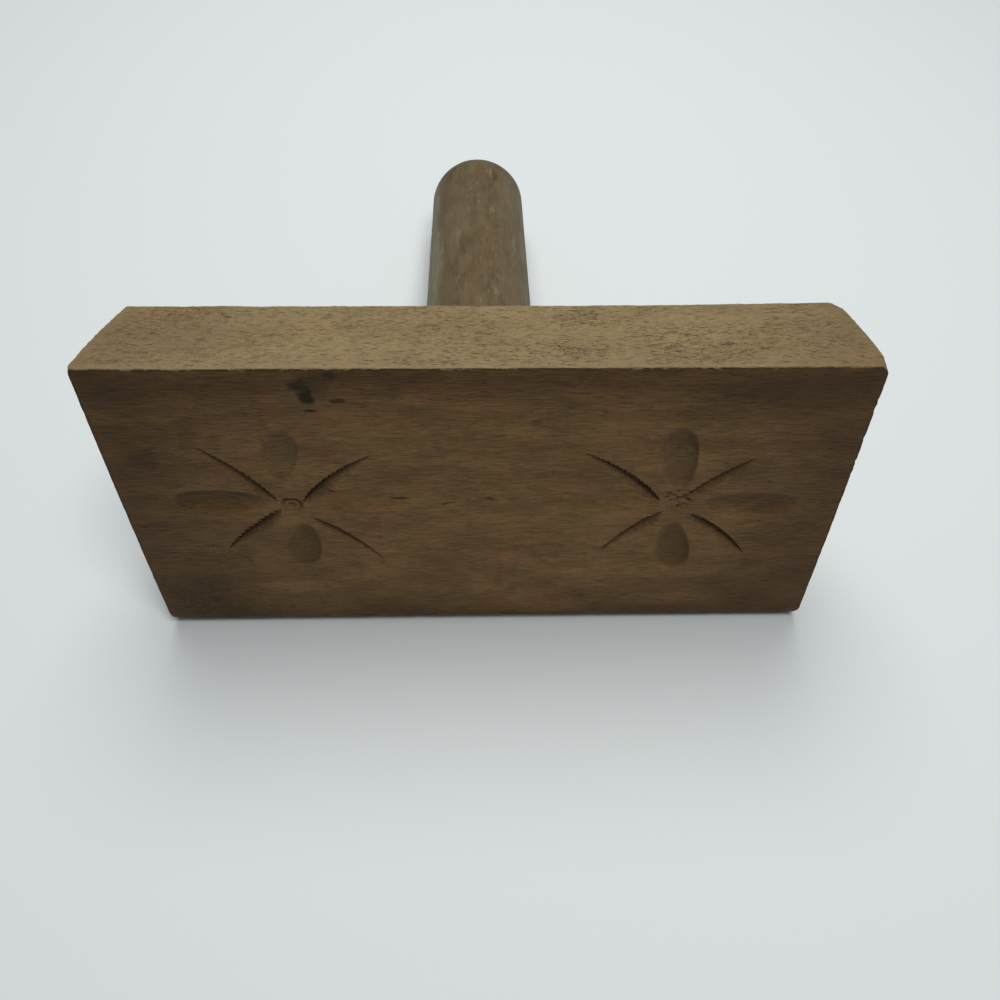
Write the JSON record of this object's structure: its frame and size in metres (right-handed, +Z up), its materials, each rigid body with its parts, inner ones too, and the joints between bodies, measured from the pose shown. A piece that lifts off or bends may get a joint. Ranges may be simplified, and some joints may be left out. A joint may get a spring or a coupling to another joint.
{
  "type": "wooden butter stamp",
  "caption": "Hand stamp for butter: a thick board with sides that taper to its back, flower recesses in its flat face, and a round handle glued into the back.",
  "frame": {"origin": "on the table, under the middle of the stamp at rest", "axes": "+X along the board, towards the right of the face; +Y from the face to the handle; +Z up. At rest the stamp leans back on the lower edge of the board's back and on the end of the handle, so its face looks along -Y and a little up"},
  "size_m": [0.1398, 0.1392, 0.0693],
  "materials": {
    "board_wood": "bare, worn, washed grain",
    "handle_wood": "bare, worn smooth by the hand"
  },
  "bodies": {
    "root": {"stamp_board": "board_wood", "handle": "handle_wood"}
  },
  "joints": []
}
